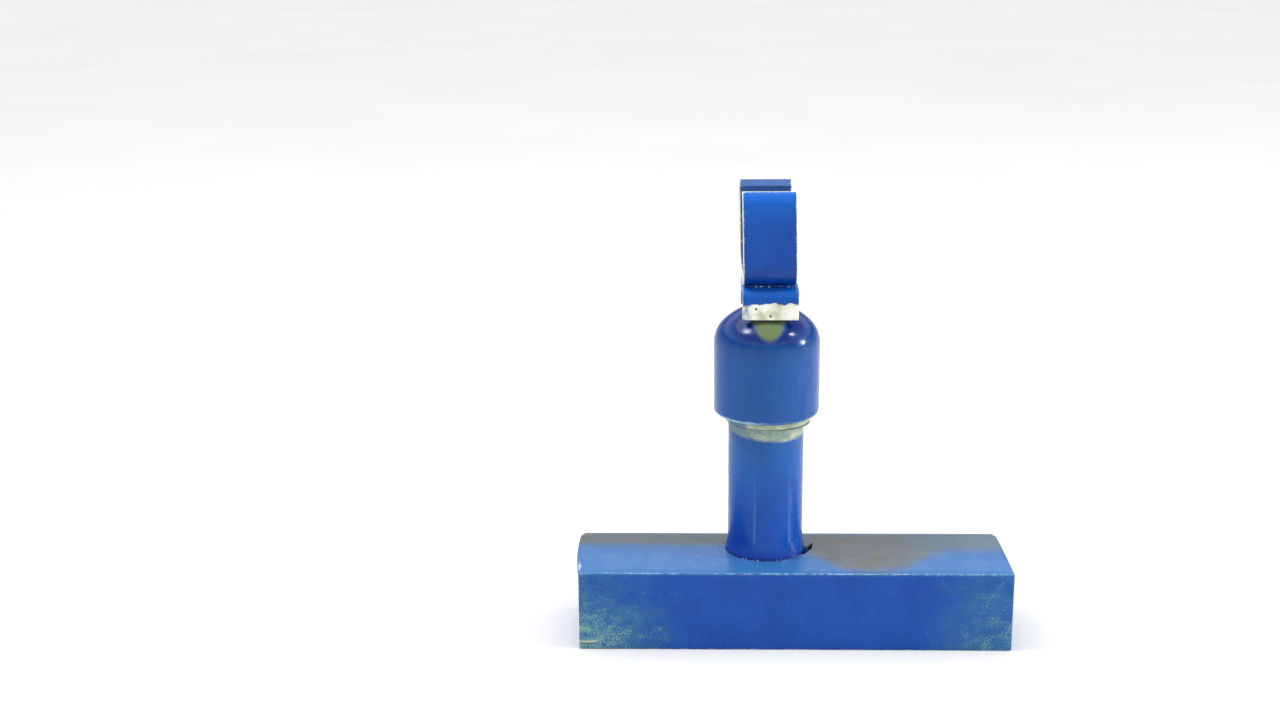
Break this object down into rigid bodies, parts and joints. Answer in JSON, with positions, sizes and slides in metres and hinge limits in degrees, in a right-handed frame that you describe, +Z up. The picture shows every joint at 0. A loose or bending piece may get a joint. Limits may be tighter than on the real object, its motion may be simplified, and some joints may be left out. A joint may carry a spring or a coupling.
{
  "type": "soldering iron stand",
  "caption": "Home-made stand: box base, pipe post and domed head with a bent strip clip that holds a soldering iron by its handle.",
  "frame": {"origin": "middle of the base box's underside", "axes": "+Z up, X along the base and along the held iron, -Y towards the front face"},
  "size_m": [0.1148, 0.0322, 0.1205],
  "materials": {
    "painted_pvc": "sprayed blue gloss over white PVC, worn at edges",
    "bare_pvc": "aged cream plastic with blue overspray",
    "glue": "uneven glue under the same spray paint"
  },
  "bodies": {
    "base": {"base_bottom_panel": "painted_pvc", "base_front_panel": "painted_pvc", "base_back_panel": "painted_pvc", "base_left_end": "painted_pvc", "base_right_end": "painted_pvc", "base_top_panel": "painted_pvc", "post_tube": "painted_pvc", "post_foot_cement": "glue"},
    "head": {"neck_bush": "bare_pvc", "head_shell": "painted_pvc", "clip_saddle": "painted_pvc", "saddle_cement": "glue", "clip_band": "painted_pvc", "band_cement": "glue"}
  },
  "joints": [
    {"name": "head_swivel", "type": "hinge", "parent": "base", "child": "head", "pos_m": [-0.0074, 0.0033, 0.0663], "axis": [0, 0, 1], "continuous": true}
  ]
}
